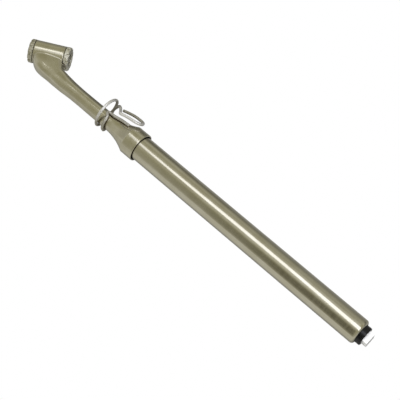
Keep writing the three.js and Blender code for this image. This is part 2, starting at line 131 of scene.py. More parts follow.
def arc(cx, cr, radius, start, end, steps=6):
    """Points of a rounded corner in an [axial, radius] profile, angles in degrees from +axial."""
    return [[cx + radius * math.cos(a * DEG), cr + radius * math.sin(a * DEG)]
            for a in np.linspace(start, end, steps)]


def join(*parts):
    """One mesh out of several."""
    verts, faces, base = [], [], 0
    for v, f in parts:
        verts.append(np.asarray(v))
        faces += [tuple(i + base for i in face) for face in f]
        base += len(v)
    return np.concatenate(verts), faces


def ease(t):
    """A smooth step from 0 to 1 as t goes from 0 to 1."""
    t = np.clip(t, 0, 1)
    return t * t * (3 - 2 * t)


def smooth_min(a, b, k):
    """The smaller of two fields, with their seam rounded over k."""
    h = np.clip(0.5 + 0.5 * (b - a) / k, 0, 1)
    return b + (a - b) * h - k * h * (1 - h)


def smooth_max(a, b, k):
    """The larger of two fields, with their seam rounded over k."""
    return -smooth_min(-a, -b, k)


def surface(field, low, high, step, rounds=2):
    """A quad mesh of the surface where field(x, y, z) is zero, with its vertices moved onto that surface."""
    axes = [np.arange(lo, hi + step, step) for lo, hi in zip(low, high)]
    grid = np.meshgrid(*axes, indexing="ij")
    inside = field(*grid) < 0
    n = np.array(inside.shape)
    count = np.zeros(n - 1, int)
    for i in (0, 1):
        for j in (0, 1):
            for k in (0, 1):
                count += inside[i:n[0] - 1 + i, j:n[1] - 1 + j, k:n[2] - 1 + k]
    active = (count > 0) & (count < 8)
    index = np.full(active.shape, -1)
    index[active] = np.arange(active.sum())
    cells = np.argwhere(active)
    points = np.stack([axes[d][cells[:, d]] + step / 2 for d in range(3)], 1)
    quads = []
    for d in range(3):
        e, f = (d + 1) % 3, (d + 2) % 3
        here = [slice(None)] * 3
        there = [slice(None)] * 3
        here[d], there[d] = slice(0, n[d] - 1), slice(1, n[d])
        a, b = inside[tuple(here)], inside[tuple(there)]
        edge = np.argwhere(a != b)
        edge = edge[(edge[:, e] > 0) & (edge[:, f] > 0) & (edge[:, e] < n[e] - 1) & (edge[:, f] < n[f] - 1)]
        out = a[tuple(edge.T)]
        corner = []
        for de, df in ((-1, -1), (0, -1), (0, 0), (-1, 0)):
            c = edge.copy()
            c[:, e] += de
            c[:, f] += df
            corner.append(index[tuple(c.T)])
        q = np.stack(corner, 1)
        q[~out] = q[~out][:, ::-1]
        quads.append(q)
    quads = np.concatenate(quads)
    quads = quads[(quads >= 0).all(1)]

    def project(p, times):
        """Moves points onto the surface along the field's gradient."""
        h = step * 0.02
        for _ in range(times):
            v = field(*p.T)
            g = np.stack([field(*(p + h * way).T) - field(*(p - h * way).T) for way in np.eye(3)], 1)
            g /= 2 * h
            move = g * (v / np.maximum((g * g).sum(1), 1e-3))[:, None]
            size = np.linalg.norm(move, axis=1)[:, None]
            p = p - move * np.minimum(1, step / np.maximum(size, 1e-9))
        return p

    points = project(points, 4)
    for _ in range(rounds):
        total = np.zeros_like(points)
        weight = np.zeros(len(points))
        for i in range(4):
            j = (i + 1) % 4
            for s, t in ((i, j), (j, i)):
                np.add.at(total, quads[:, s], points[quads[:, t]])
                np.add.at(weight, quads[:, s], 1)
        points = project(0.5 * points + 0.5 * total / np.maximum(weight, 1)[:, None], 2)
    return points, quads.tolist()


# ------------------------------------------------------------------ materials
def material(name, color, metallic=0.0, roughness=0.5, **extra):
    """A Principled material with plain values, its node tree and its shader."""
    m = bpy.data.materials.new(name)
    m.use_nodes = True
    tree = m.node_tree
    shader = tree.nodes["Principled BSDF"]
    shader.inputs["Base Color"].default_value = (*color, 1)
    shader.inputs["Metallic"].default_value = metallic
    shader.inputs["Roughness"].default_value = roughness
    for key, value in extra.items():
        shader.inputs[key.replace("_", " ")].default_value = value
    return m, tree, shader


def noise(tree, scale, detail=4.0, stretch=(1, 1, 1), rough=0.55):
    """Noise from 0 to 1 in the object's own coordinates."""
    coord = tree.nodes.new("ShaderNodeTexCoord")
    mapping = tree.nodes.new("ShaderNodeMapping")
    mapping.inputs["Scale"].default_value = stretch
    tex = tree.nodes.new("ShaderNodeTexNoise")
    tex.inputs["Scale"].default_value = scale
    tex.inputs["Detail"].default_value = detail
    tex.inputs["Roughness"].default_value = rough
    tree.links.new(coord.outputs["Object"], mapping.inputs["Vector"])
    tree.links.new(mapping.outputs["Vector"], tex.inputs["Vector"])
    return tex.outputs["Fac"]


def spread(tree, value, low, high, start=0.3, end=0.7):
    """A value from `low` to `high` as another goes from `start` to `end`."""
    node = tree.nodes.new("ShaderNodeMapRange")
    node.inputs["From Min"].default_value = start
    node.inputs["From Max"].default_value = end
    node.inputs["To Min"].default_value = low
    node.inputs["To Max"].default_value = high
    tree.links.new(value, node.inputs["Value"])
    return node.outputs["Result"]


def tint(tree, value, one, two, start=0.35, end=0.65):
    """A colour from `one` to `two` as a value goes from `start` to `end`."""
    ramp = tree.nodes.new("ShaderNodeValToRGB")
    ramp.color_ramp.elements[0].position = start
    ramp.color_ramp.elements[0].color = (*one, 1)
    ramp.color_ramp.elements[1].position = end
    ramp.color_ramp.elements[1].color = (*two, 1)
    tree.links.new(value, ramp.inputs["Fac"])
    return ramp.outputs["Color"]


def bump(tree, shader, heights, distance):
    """Bumps the surface by one or more [height, strength] fields; the distance is in metres."""
    normal = None
    for value, strength in heights:
        node = tree.nodes.new("ShaderNodeBump")
        node.inputs["Strength"].default_value = strength
        node.inputs["Distance"].default_value = distance
        tree.links.new(value, node.inputs["Height"])
        if normal is not None:
            tree.links.new(normal, node.inputs["Normal"])
        normal = node.outputs["Normal"]
    tree.links.new(normal, shader.inputs["Normal"])


def near_axis(tree, low, high):
    """1 where the surface is closer to the barrel's axis than `low` mm and 0 beyond `high` mm, and its X."""
    coord = tree.nodes.new("ShaderNodeTexCoord")
    offset = tree.nodes.new("ShaderNodeVectorMath")
    offset.operation = "SUBTRACT"
    offset.inputs[1].default_value = tuple(SHIFT * MM)
    flat = tree.nodes.new("ShaderNodeVectorMath")
    flat.operation = "MULTIPLY"
    flat.inputs[1].default_value = (0, 1, 1)
    size = tree.nodes.new("ShaderNodeVectorMath")
    size.operation = "LENGTH"
    tree.links.new(coord.outputs["Object"], offset.inputs[0])
    tree.links.new(offset.outputs["Vector"], flat.inputs[0])
    tree.links.new(flat.outputs["Vector"], size.inputs[0])
    x = split(tree, offset.outputs["Vector"])[0]
    return spread(tree, size.outputs["Value"], 1, 0, low * MM, high * MM), x


def math_node(tree, operation, one, two=None):
    """The result of one operation on sockets or numbers."""
    node = tree.nodes.new("ShaderNodeMath")
    node.operation = operation
    for socket, value in zip(node.inputs, (one, two)):
        if value is None:
            continue
        if isinstance(value, (int, float)):
            socket.default_value = value
        else:
            tree.links.new(value, socket)
    return node.outputs[0]


def blend(tree, factor, color, other):
    """One colour where the factor is 0, the other, a socket or a tuple, where it is 1."""
    node = tree.nodes.new("ShaderNodeMix")
    node.data_type = "RGBA"
    tree.links.new(factor, node.inputs["Factor"])
    tree.links.new(color, node.inputs["A"])
    if isinstance(other, tuple):
        node.inputs["B"].default_value = (*other, 1)
    else:
        tree.links.new(other, node.inputs["B"])
    return node.outputs["Result"]


def split(tree, vector):
    """The X, Y and Z of a vector socket."""
    node = tree.nodes.new("ShaderNodeSeparateXYZ")
    tree.links.new(vector, node.inputs[0])
    return [node.outputs[axis] for axis in "XYZ"]


def place(tree):
    """The X, Y and Z of the surface in the row frame, in metres."""
    return split(tree, tree.nodes.new("ShaderNodeTexCoord").outputs["Object"])


def shaded(tree, color, reach, dark, full=0.1, none=0.85):
    """Paints shade into a colour where another surface is within reach: a number in mm, or a socket in
    metres.
    """
    near = tree.nodes.new("ShaderNodeAmbientOcclusion")
    near.samples = 16
    if isinstance(reach, (int, float)):
        near.inputs["Distance"].default_value = reach * MM
    else:
        tree.links.new(reach, near.inputs["Distance"])
    return blend(tree, spread(tree, near.outputs["AO"], 1, 0, full, none), color, dark)


def cast_nickel():
    """Satin nickel with slight unevenness, painted shade where other surfaces come close, and near-black
    painted shade deep in the collar's socket.
    """
    m, t, s = material("cast_nickel", (0.66, 0.63, 0.53), 1.0, 0.2)
    broad = noise(t, 160, 3)
    fine = noise(t, 1500, 2)
    color = tint(t, broad, (0.60, 0.57, 0.455), (0.68, 0.655, 0.55))
    inner, x = near_axis(t, 8.6, 9.1)
    # Painted shade, near black, at the socket's mouth within 8.6 mm of the axis: full over its last 1.5 mm,
    # gone 4 mm in.
    deep = math_node(t, "MULTIPLY", inner, spread(t, x, 0, 1, -4 * MM, -1.5 * MM))
    # Painted shade where other surfaces come close, reaching 4.5 mm at the head and 1 mm from -60 mm on.
    reach = spread(t, x, 4.5 * MM, 1.0 * MM, -75 * MM, -60 * MM)
    color = shaded(t, color, reach, (0.28, 0.22, 0.14), 0.22, 0.96)
    t.links.new(blend(t, deep, color, (0.02, 0.017, 0.012)), s.inputs["Base Color"])
    t.links.new(spread(t, broad, 0.11, 0.18), s.inputs["Roughness"])
    bump(t, s, [(broad, 0.04), (fine, 0.008)], 0.00005)
    return m


def ring_nickel():
    """The rings' plating, brighter than the casting's; painted shade makes the rear ring darker and darkens
    where other surfaces come close.
    """
    m, t, s = material("ring_nickel", (0.78, 0.77, 0.72), 1.0, 0.18)
    grain = noise(t, 500, 3)
    # Painted shade: the rear ring takes a darker copy of the same plating, full past -132 mm along X and
    # gone by -122 mm.
    rear = spread(t, place(t)[0], 0.95, 0.0, -132 * MM, -122 * MM)
    color = blend(t, rear, tint(t, grain, (0.76, 0.75, 0.68), (0.88, 0.87, 0.80)), (0.57, 0.55, 0.46))
    # Painted shade where other surfaces come close.
    t.links.new(shaded(t, color, 0.7, (0.28, 0.25, 0.19), 0.1, 0.8), s.inputs["Base Color"])
    t.links.new(spread(t, grain, 0.36, 0.46), s.inputs["Roughness"])
    bump(t, s, [(grain, 0.06)], 0.00005)
    return m


def barrel_nickel():
    """Nickel over fine turning marks: reflections stay sharp around the tube and smear along it; painted
    shade where other surfaces come close.
    """
    m, t, s = material("barrel_nickel", (0.66, 0.63, 0.52), 1.0, 0.2)
    lines = noise(t, 1.0, 3, (3000, 40, 40), 0.7)
    broad = noise(t, 90, 3)
    tangent = t.nodes.new("ShaderNodeTangent")
    tangent.direction_type = "RADIAL"
    tangent.axis = "X"
    t.links.new(tangent.outputs["Tangent"], s.inputs["Tangent"])
    s.inputs["Anisotropic"].default_value = 0.75
    s.inputs["Anisotropic Rotation"].default_value = 0.25
    color = tint(t, broad, (0.615, 0.585, 0.475), (0.67, 0.645, 0.545))
    # Painted shade, dark brown, within 1.2 mm of other surfaces.
    t.links.new(shaded(t, color, 1.2, (0.10, 0.08, 0.05)), s.inputs["Base Color"])
    t.links.new(spread(t, lines, 0.12, 0.20), s.inputs["Roughness"])
    bump(t, s, [(lines, 0.05)], 0.00003)
    return m


def bright_wire():
    """Drawn wire, painted darker on its low parts as shade, and with painted shade where other surfaces come
    close.
    """
    m, t, s = material("bright_wire", (0.88, 0.88, 0.92), 0.93, 0.12)
    drawn = noise(t, 700, 3)
    color = tint(t, drawn, (0.92, 0.915, 0.93), (0.98, 0.98, 1.0))
    # Painted shade: the wire goes darker below 20 mm above the floor, fully so below 13.5 mm.
    low = spread(t, place(t)[2], 1, 0, 13.5 * MM, 20 * MM)
    color = blend(t, low, color, (0.46, 0.44, 0.38))
    # Painted shade within 1 mm of other surfaces.
    t.links.new(shaded(t, color, 1.0, (0.45, 0.38, 0.27), 0.1, 0.9), s.inputs["Base Color"])
    t.links.new(spread(t, drawn, 0.42, 0.52), s.inputs["Roughness"])
    bump(t, s, [(drawn, 0.03)], 0.00004)
    return m


def grained(name, base, metallic, roughness, grain, colors, rough, bumps=None, **extra):
    """A material whose colour, roughness and bumps all follow one grain."""
    m, t, s = material(name, base, metallic, roughness, **extra)
    value = noise(t, *grain)
    t.links.new(tint(t, value, *colors), s.inputs["Base Color"])
    t.links.new(spread(t, value, *rough), s.inputs["Roughness"])
    if bumps:
        strength, distance = bumps
        bump(t, s, [(value, strength)], distance)
    return m


def plain_metal(name, one, two, low, high):
    """Bare metal as it comes from the machine."""
    return grained(name, one, 1.0, low, (900, 3), (one, two), (low, high), (0.06, 0.00005))


def white_nylon():
    """White nylon, with painted shade that greys the faces turned along +X, such as the bar's far end."""
    m, t, s = material("white_nylon", (0.92, 0.92, 0.90), 0.0, 0.4)
    grain = noise(t, 700, 3)
    plain = tint(t, grain, (0.94, 0.94, 0.93), (0.955, 0.955, 0.95))
    facing = split(t, t.nodes.new("ShaderNodeNewGeometry").outputs["Normal"])
    # Painted shade: faces turned along +X go grey.
    painted_end_shade = spread(t, facing[0], 0.0, 1.0, 0.5, 0.95)
    t.links.new(blend(t, painted_end_shade, plain, (0.58, 0.58, 0.57)), s.inputs["Base Color"])
    t.links.new(spread(t, grain, 0.34, 0.5), s.inputs["Roughness"])
    bump(t, s, [(grain, 0.01)], 0.00003)
    return m


CAST = cast_nickel()
RINGS = ring_nickel()
TUBE = barrel_nickel()
BRIGHT = bright_wire()
STEEL = plain_metal("plain_steel", (0.60, 0.60, 0.58), (0.68, 0.68, 0.66), 0.22, 0.34)
BRASS = plain_metal("turned_brass", (0.66, 0.51, 0.25), (0.74, 0.59, 0.32), 0.24, 0.36)
BLACK = grained("black_nylon", (0.004, 0.004, 0.005), 0.0, 0.16, (1500, 3),
                ((0.003, 0.003, 0.004), (0.008, 0.008, 0.009)), (0.12, 0.22), (0.03, 0.00005),
                Specular_IOR_Level=0.35)
WHITE = white_nylon()
RUBBER = grained("black_rubber", (0.02, 0.02, 0.02), 0.0, 0.7, (1200, 4),
                 ((0.015, 0.015, 0.016), (0.035, 0.034, 0.033)), (0.55, 0.85), (0.25, 0.00008))
INK = grained("black_ink", (0.02, 0.02, 0.025), 0.0, 0.5, (2500, 3),
              ((0.012, 0.012, 0.015), (0.05, 0.05, 0.055)), (0.42, 0.6))


# --------------------------------------------------------------- head casting
def along(stops, key):
    """Reads smoothly between [key, value] stops, for arrays."""
    stops = np.array(stops, float)
    if stops[0, 0] > stops[-1, 0]:
        stops = stops[::-1]
    xs, ys = stops[:, 0], stops[:, 1]
    i = np.clip(np.searchsorted(xs, key) - 1, 0, len(xs) - 2)
    slope = np.empty(len(xs))
    slope[1:-1] = (ys[2:] - ys[:-2]) / (xs[2:] - xs[:-2])
    slope[0] = (ys[1] - ys[0]) / (xs[1] - xs[0])
    slope[-1] = (ys[-1] - ys[-2]) / (xs[-1] - xs[-2])
    w = xs[i + 1] - xs[i]
    t = np.clip((key - xs[i]) / w, 0, 1)
    return (ys[i] * (1 + 2 * t) * (1 - t) ** 2 + ys[i + 1] * t * t * (3 - 2 * t)
            + slope[i] * w * t * (1 - t) ** 2 - slope[i + 1] * w * t * t * (1 - t))


def flare_profile():
    """The neck's and collar's outline as [axial, radius], as in the CAD part."""
    p = np.array([[-26, 5.15], [-17, 5.25], [-11.4, 8.25], [-COLLAR["length"], COLLAR["radius"]]])
    t = np.linspace(0, 1, 40)[:, None]
    curve = p[0] * (1 - t) ** 3 + 3 * p[1] * t * (1 - t) ** 2 + 3 * p[2] * t * t * (1 - t) + p[3] * t ** 3
    xs = np.linspace(-72, -26.5, 60)
    neck = along([[-68, 5.6], [-56, 5.05], [-40, 5.05], [-26, 5.15]], xs)
    return np.concatenate([np.stack([xs, neck], 1), curve, [[2, COLLAR["radius"]]]])


PROFILE = flare_profile()
# The web's near edge, far edge and half height along the barrel's axis: [x, mm from the axis].
NEAR = [[-58, -5.1], [-66, -5.5], [-72, -5.4], [-78, -5.25], [-85, -5.1], [-90, -4.25], [-94, -2.2],
        [-98, 1.9]]
FAR = [[-58, 5.1], [-66, 5.5], [-72, 5.75], [-74.5, 6.1], [-77, 8.5], [-81, 11.5], [-90, 13], [-98, 10]]
HEIGHT = [[-58, 5.1], [-66, 5.2], [-74, 5.42], [-82, 5.8], [-90, 6.2], [-98, 5]]


def casting(x, y, z):
    """The head casting: neck and collar, the web, and the head cylinder, less its bores."""
    r = np.sqrt(y * y + z * z)
    neck = smooth_max(r - np.interp(x, PROFILE[:, 0], PROFILE[:, 1]), x, COLLAR["edge"])

    low, high, tall = along(NEAR, x), along(FAR, x), along(HEIGHT, x)
    square = ease((WEB["start"] - x) / WEB["growth"])
    last = ease((WEB["last"] - x) / WEB["last_growth"])
    # The section is a superellipse: power 2 is an ellipse, and more is squarer.
    powers = [2 + one * square + two * last for one, two in (WEB["near_power"], WEB["far_power"])]
    half = (high - low) / 2
    across = y - (low + high) / 2
    power = np.where(across < 0, *powers)
    q = (np.abs(across / half) ** power + np.abs(z / tall) ** power + 1e-12) ** (1 / power)
    web = np.maximum((q - 1) * np.minimum(half, tall), WEB["end"] - x)
    takeover = ease((WEB["start"] - x) / WEB["takeover"])
    stem = neck * (1 - takeover) + web * takeover

    c, n = math.cos(HEAD["angle"]), math.sin(HEAD["angle"])
    a = (x - HEAD["x"]) * c + (y - HEAD["y"]) * n
    b = -(x - HEAD["x"]) * n + (y - HEAD["y"]) * c
    rho = np.sqrt(b * b + z * z)
    end = np.abs(a) - HEAD["half"]
    stem = smooth_max(stem, np.minimum(end, RING["radius"] + RING["clear"] - rho), FILLET)
    head = smooth_max(rho - HEAD["radius"], end, FILLET)
    body = smooth_min(stem, head, FILLET)

    recess = np.maximum(rho - HEAD["recess"], HEAD["recess_floor"] - np.abs(a))
    bore = np.minimum(recess, rho - HEAD["chamber"])
    bevel = np.clip(x + COLLAR["bevel"], 0, 2 * COLLAR["bevel"])
    socket = np.maximum(r - COLLAR["socket"] - bevel, -COLLAR["depth"] - x)
    elbow = PASSAGE["elbow"]
    way = np.array([HEAD["x"] - elbow, HEAD["y"]])
    t = np.clip(((x - elbow) * way[0] + y * way[1]) / (way @ way), 0, 1)
    to_head = np.sqrt((x - elbow - t * way[0]) ** 2 + (y - t * way[1]) ** 2 + z * z)
    passage = np.minimum(to_head, np.maximum(r, elbow - x)) - PASSAGE["radius"]
    return np.maximum(np.maximum(body, -np.minimum(bore, passage)), -socket)


step = 0.33
verts, faces = surface(casting, (-105, -10.2, -10.2), (1.2, 22, 10.2), step)
piece("casting_shell", rolled(verts), faces, "gauge_body", CAST, ["head_casting"])


# ------------------------------------------------------------ retaining rings
def in_sector(y, z, count):
    """The angle about X from the middle of the closest of `count` equal sectors."""
    pitch = 2 * math.pi / count
    return np.mod(np.arctan2(y, z), pitch) - pitch / 2


def ring_field(x, y, z):
    """A castellated retaining ring with a bevelled rim, grip grooves and a sleeve behind its flange."""
    r = np.sqrt(y * y + z * z)
    flange = smooth_max(r - RING["radius"] + 0.01, np.maximum(RING["start"] - x, x - RING["end"]), 0.2)
    flange = smooth_max(flange, (r + x - RING["radius"] - RING["end"] + RING["bevel"]) * 0.7071, 0.25)
    sleeve = np.maximum(r - RING["sleeve"], np.maximum(RING["sleeve_start"] - x, x - RING["start"] - 0.5))
    body = np.minimum(flange, sleeve)

    turn = in_sector(y, z, RING["slots"])
    across = np.abs(r * np.sin(turn)) - RING["slot_width"] / 2
    slot = np.maximum(np.maximum(across, RING["slot_floor"] - r * np.cos(turn)),
                      RING["end"] - RING["slot_depth"] - x)
    body = smooth_max(body, -slot, 0.2)

    turn = in_sector(y, z, RING["grips"])
    groove = np.abs(r * np.sin(turn)) + np.abs(r * np.cos(turn) - RING["radius"]) - RING["grip_depth"]
    body = np.maximum(body, -np.maximum(groove, x - RING["end"] + RING["slot_depth"]))
    return smooth_max(body, RING["mouth"] - r, 0.35)


step = 0.22
verts, faces = surface(ring_field, (6.9, -8.1, -8.1), (13.6, 8.1, 8.1), step)
for side, name in ((1, "front"), (-1, "rear")):
    ring = on_head(verts, side)
    piece(f"{name}_ring_shell", ring, faces, "gauge_body", RINGS, [f"{name}_chuck_ring"])


# --------------------------------------------------------------- barrel, tip
def barrel():
    """The tube, rolled in at its far end to a lip that holds the bushing."""
    start, end, radius, bore = (BARREL[key] for key in ("start", "end", "radius", "bore"))
    crimp, lip, deep, edge = (BARREL[key] for key in ("crimp", "lip", "lip_depth", "edge"))
    outline = [[start, bore], [start, radius - edge], [start + edge, radius]]
    outline += [[x, radius] for x in np.linspace(-4, end - crimp - 1, 24)]
    outline += arc(end - crimp, radius - crimp, crimp, 90, 0, 14)
    outline += [[end, lip + edge + 0.05]] + arc(end - edge, lip + edge, edge, 0, -90, 5)
    outline += [[end - deep, lip], [end - deep, bore - deep], [end - 2 * deep, bore]]
    outline += [[x, bore] for x in np.linspace(end - 2, start + 2, 6)]
    return lathe(outline, 192)


verts, faces = barrel()
piece("barrel_tube", verts, faces, "gauge_body", TUBE, ["barrel"])


def in_bar(y, z, side):
    """Distance outside the square bar's section."""
    c, s = math.cos(BAR["roll"]), math.sin(BAR["roll"])
    p, q = y * c + z * s, -y * s + z * c
    r = BAR["corner"]
    dp, dq = np.abs(p) - side / 2 + r, np.abs(q) - side / 2 + r
    return np.sqrt(np.maximum(dp, 0) ** 2 + np.maximum(dq, 0) ** 2) + np.minimum(np.maximum(dp, dq), 0) - r


def bushing_field(x, y, z):
    """The end bushing: a nose, a collar behind the barrel's lip and a square hole for the bar."""
    r = np.sqrt(y * y + z * z)
    nose = smooth_max(r - BUSHING["nose"], x - BUSHING["end"], 0.8)
    collar = smooth_max(r - BUSHING["collar"], x - BUSHING["collar_end"], 0.5)
    body = np.maximum(np.minimum(nose, collar), BUSHING["start"] - x)
    return smooth_max(body, -in_bar(y, z, BAR["side"] + 2 * BUSHING["gap"]), FILLET)


step = 0.24
verts, faces = surface(bushing_field, (162.5, -7.3, -7.3), (176.9, 7.3, 7.3), step)
piece("bushing_shell", verts, faces, "gauge_body", BLACK, ["end_bushing"])


def bar_solid():
    """A square bar with rounded long edges and eased ends, and the round foot that the piston pushes."""
    c, s = math.cos(BAR["roll"]), math.sin(BAR["roll"])
    half, r = BAR["side"] / 2, BAR["corner"]
    outline = []
    for k in range(4):
        cx = (half - r) * (1 if k in (0, 3) else -1)
        cy = (half - r) * (1 if k in (0, 1) else -1)
        for a in np.linspace(-45, 45, 7):
            t = (90 * k + 45 + a) * DEG
            outline.append((cx, cy, math.cos(t), math.sin(t)))
    start, end = BAR["start"], BAR["end"]
    rows = [(start, 0.25), (start, 0.1), (start + 0.1, 0), (start + 0.7, 0)]
    rows += [(x, 0) for x in np.linspace(30, end - 2, 8)]
    rows += [(end - 0.25, 0), (end - 0.07, 0.07), (end, 0.25)]
    verts = []
    for x, inset in rows:
        for cx, cy, nx, ny in outline:
            p, q = cx + nx * (r - inset), cy + ny * (r - inset)
            verts.append((x, p * c - q * s, p * s + q * c))
    n = len(outline)
    faces = []
    for i in range(len(rows) - 1):
        for k in range(n):
            m = (k + 1) % n
            faces.append((i * n + k, i * n + m, (i + 1) * n + m, (i + 1) * n + k))
    faces.append(tuple(range(n))[::-1])
    faces.append(tuple((len(rows) - 1) * n + k for k in range(n)))
    flip = [tuple(reversed(f)) for f in faces]

    start, end, radius, edge = FOOT["start"], FOOT["end"], FOOT["radius"], FOOT["edge"]
    foot = lathe([[start, 0.01], [start, radius - edge], [start + edge, radius], [end - edge, radius],
                  [end, radius - edge], [end, 0.01]], 64, closed=False)
    return join((np.array(verts), flip), foot)


verts, faces = bar_solid()
piece("indicator_shell", verts, faces, "indicator", WHITE, ["indicator_bar"])


# ------------------------------------------------------------------ wire clip
# The leg and the crossing over the neck as [x, reach from the axis, degrees from straight up], the turns'
# pitch as [degrees, x], and the bail as [x, half width] of its two strands and [x, reach] of both.
CLIP_LEG = [[-13.2, 8.6, 25], [-14.8, 7.95, 28], [-17.4, 7.3, 32], [-20.1, 6.85, 34], [-22.7, 6.55, 31],
            [-25.4, 6.36, 27], [-28.4, 6.32, 26], [-30, 6.3, 21], [-29.6, 6.3, 11], [-28.3, 6.3, 1],
            [-27.6, 6.34, -18], [-27.3, 6.4, -45], [-27.2, 6.42, -78]]
CLIP_PITCH = [[-110, -27.2], [-145, -28.2], [-180, -30.6], [-210, -32.8], [-238, -34], [-290, -32.6],
              [-360, -31.8], [-420, -32], [-470, -32.5]]
CLIP_CROSSING = [[-32.9, 6.32, -505], [-33.1, 6.45, -540], [-33.5, 6.95, -570], [-33.3, 8.15, -595],
                 [-32.7, 9.5, -614], [-31, 10.6, -632], [-28.7, 11.35, -650], [-25.8, 11.3, -668],
                 [-23.6, 10.9, -681]]
BAIL_NEAR = [[-25.4, 5.2], [-21.4, 5.3], [-17, 5.0], [-11, 4.45], [-7, 4.6]]
BAIL_FAR = [[-25.4, 4.6], [-21.4, 5.2], [-17, 5.35], [-11, 4.9], [-7, 4.6]]
BAIL_REACH = [[-25.5, 9.75], [-21.9, 10.6], [-17.7, 11.38], [-13.5, 11.91], [-9.4, 12.2], [-6.8, 12.25]]
BAIL = dict(angle=49.5, start=-21.4, end=-7.6, free_end=-25.4, pitch=3.4)
# The turns lie on a circle that hangs off the neck's axis.
TURNS = dict(radius=9.62, offset=3.3, angle=66, first=-110, last=-471, pitch=-18)


def around(x, reach, angle):
    """A point at an angle about X, in degrees from straight up."""
    return np.array([x, reach * math.sin(angle * DEG), reach * math.cos(angle * DEG)])


def read(stops, key):
    """One value between [key, value] stops."""
    return float(along(stops, np.array(float(key))))


def on_bail(x, across):
    """A point of the bail, `across` from its middle plane."""
    turn = BAIL["angle"] * DEG
    side = np.array([0, math.cos(turn), -math.sin(turn)])
    return around(x, read(BAIL_REACH, x), BAIL["angle"]) + across * side


def clip_points():
    """The wire's centre line: leg, turns, crossing, and the bail out and back."""
    points = [around(*stop) for stop in CLIP_LEG]
    for angle in range(TURNS["first"], TURNS["last"], TURNS["pitch"]):
        apart = (angle - TURNS["angle"]) * DEG
        reach = (TURNS["offset"] * math.cos(apart)
                 + math.sqrt(TURNS["radius"] ** 2 - (TURNS["offset"] * math.sin(apart)) ** 2))
        points.append(around(read(CLIP_PITCH, angle), reach, angle))
    points += [around(*stop) for stop in CLIP_CROSSING]

    pitch, free_end = BAIL["pitch"], BAIL["free_end"]
    radius = read(BAIL_NEAR, BAIL["end"])
    bend = BAIL["end"] - radius
    points += [on_bail(x, -read(BAIL_NEAR, x)) for x in np.arange(BAIL["start"], bend - 1, pitch)]
    for turn in np.arange(-90, 91, 22.5) * DEG:
        points.append(on_bail(bend + radius * math.cos(turn), radius * math.sin(turn)))
    points += [on_bail(x, read(BAIL_FAR, x)) for x in np.arange(bend - 3, free_end + 1, -pitch)]
    points.append(on_bail(free_end, read(BAIL_FAR, free_end)))
    return np.array(points)


def centripetal(points, samples):
    """Evenly spaced points of a centripetal Catmull-Rom curve."""
    ends = [2 * points[0] - points[1], *points, 2 * points[-1] - points[-2]]
    p = np.array(ends)
    out = []
    for i in range(1, len(p) - 2):
        d = [max(np.linalg.norm(p[i + k] - p[i + k - 1]) ** 0.5, 1e-6) for k in (0, 1, 2)]
        m1 = (p[i] - p[i - 1]) / d[0] - (p[i + 1] - p[i - 1]) / (d[0] + d[1]) + (p[i + 1] - p[i]) / d[1]
        m2 = (p[i + 1] - p[i]) / d[1] - (p[i + 2] - p[i]) / (d[1] + d[2]) + (p[i + 2] - p[i + 1]) / d[2]
        t = np.linspace(0, 1, 16, endpoint=i == len(p) - 3)[:, None]
        out.append((2 * t ** 3 - 3 * t * t + 1) * p[i] + (t ** 3 - 2 * t * t + t) * m1 * d[1]
                   + (3 * t * t - 2 * t ** 3) * p[i + 1] + (t ** 3 - t * t) * m2 * d[1])
    out = np.concatenate(out)
    length = np.r_[0, np.cumsum(np.linalg.norm(np.diff(out, axis=0), axis=1))]
    even = np.linspace(0, length[-1], samples)
    return np.stack([np.interp(even, length, out[:, k]) for k in range(3)], 1)


def wire(path, radius, sides=28):
    """A round wire along a path, with slightly eased cut ends."""
    tangent = np.gradient(path, axis=0)
    tangent /= np.linalg.norm(tangent, axis=1)[:, None]
    normal = np.cross(tangent[0], [0, 0, 1.0])
    rows = []
    eased = [(0, 0.02 / radius), (0, 0.8), (0.08, 0.95)]
    turn = np.arange(sides) * 2 * math.pi / sides
    for i, (p, t) in enumerate(zip(path, tangent)):
        normal = normal - t * (normal @ t)
        normal /= np.linalg.norm(normal)
        other = np.cross(t, normal)
        ring = np.cos(turn)[:, None] * normal + np.sin(turn)[:, None] * other
        if i == 0:
            rows += [(p + t * step, ring * radius * share) for step, share in eased]
        elif i == len(path) - 1:
            rows += [(p - t * step, ring * radius * share) for step, share in reversed(eased)]
        else:
            rows.append((p, ring * radius))
    verts = np.concatenate([c + r for c, r in rows])
    faces = []
    for r in range(len(rows) - 1):
        for k in range(sides):
            n = (k + 1) % sides
            faces.append((r * sides + k, r * sides + n, (r + 1) * sides + n, (r + 1) * sides + k))
    return verts, faces


verts, faces = wire(centripetal(clip_points(), 640), WIRE)
piece("clip_wire", verts, faces, "clip", BRIGHT, ["hanging_clip"])


# --------------------------------------------------- spring, scale on the bar
def spring_path():
    """A coil whose end turns close up, from its moving end to its fixed end."""
    turns, closed, opened = SPRING["turns"], SPRING["closed_pitch"], SPRING["open_pitch"]
    t = np.linspace(0, turns, turns * 36 + 1)
    low, high = SPRING["start"] + SPRING["wire"], SPRING["end"] - SPRING["wire"]
    pace = np.interp(t, [0, 0.9, 1.6, turns - 1.6, turns - 0.9, turns],
                     [closed, closed, opened, opened, closed, closed])
    x = np.r_[0, np.cumsum((pace[1:] + pace[:-1]) / 2)]
    x = low + x / x[-1] * (high - low)
    turn = 2 * math.pi * t
    return np.stack([x, SPRING["radius"] * np.sin(turn), SPRING["radius"] * np.cos(turn)], 1)


verts, faces = wire(spring_path(), SPRING["wire"], 12)
coil = piece("spring_coil", verts, faces, "gauge_body", STEEL, ["spring"])
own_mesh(coil)

